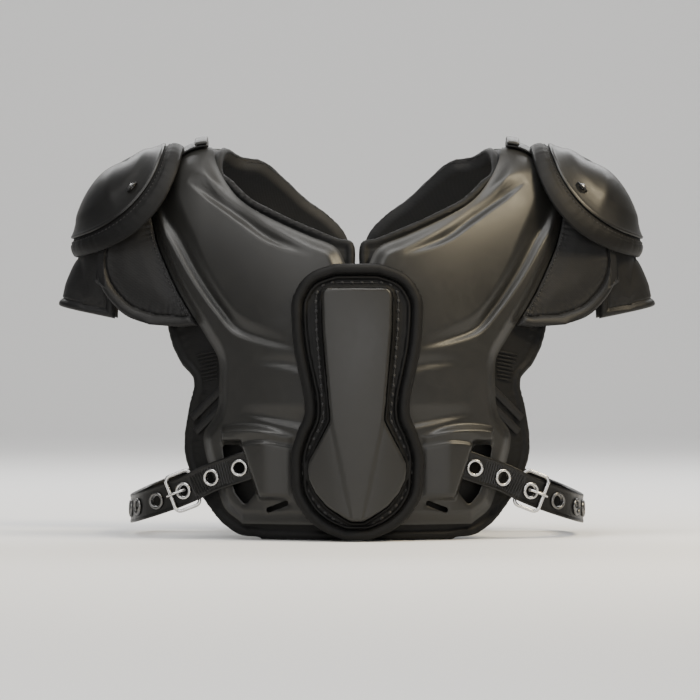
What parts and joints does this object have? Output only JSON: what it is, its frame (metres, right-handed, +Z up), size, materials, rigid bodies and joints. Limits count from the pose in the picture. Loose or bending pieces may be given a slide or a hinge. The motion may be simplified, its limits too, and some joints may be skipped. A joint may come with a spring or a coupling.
{
  "type": "football shoulder pad",
  "caption": "Football shoulder pad: padded arches under hard chest and back plates, a sternum guard, shoulder cups with hanging flaps, and buckled side belts.",
  "frame": {"origin": "on the floor, under the middle of the outline", "axes": "+X to the right as seen from the front, +Y towards the back, +Z up"},
  "size_m": [0.54, 0.2988, 0.3582],
  "materials": {
    "shell": "satin dark grey moulded plastic",
    "cup": "satin black moulded plastic",
    "fabric": "black knitted cloth over foam",
    "webbing": "black woven and coated webbing",
    "metal": "polished nickel plating"
  },
  "bodies": {
    "root": {"body_liner_right": "fabric", "body_liner_left": "fabric", "chest_plate_right": "shell", "chest_plate_left": "shell", "back_plate_right": "shell", "back_plate_left": "shell", "front_flap_right": "fabric", "front_flap_left": "fabric", "back_flap_right": "fabric", "back_flap_left": "fabric", "arm_flap_right": "fabric", "arm_flap_left": "fabric", "cup_pad_right": "fabric", "cup_pad_left": "fabric", "shoulder_cup_right": "cup", "shoulder_cup_left": "cup", "ridge_strap_right": "webbing", "ridge_strap_left": "webbing", "strap_keeper_right": "shell", "strap_keeper_left": "shell", "side_belt_right": "webbing", "side_belt_left": "webbing", "buckle_right": "metal", "buckle_left": "metal", "buckle_prong_right": "metal", "buckle_prong_left": "metal", "eyelet_1_right": "metal", "eyelet_1_left": "metal", "eyelet_2_right": "metal", "eyelet_2_left": "metal", "eyelet_3_right": "metal", "eyelet_3_left": "metal", "eyelet_4_right": "metal", "eyelet_4_left": "metal", "eyelet_5_right": "metal", "eyelet_5_left": "metal", "eyelet_6_right": "metal", "eyelet_6_left": "metal", "sternum_pad": "fabric", "sternum_plate": "shell", "back_strip": "webbing"}
  },
  "joints": []
}
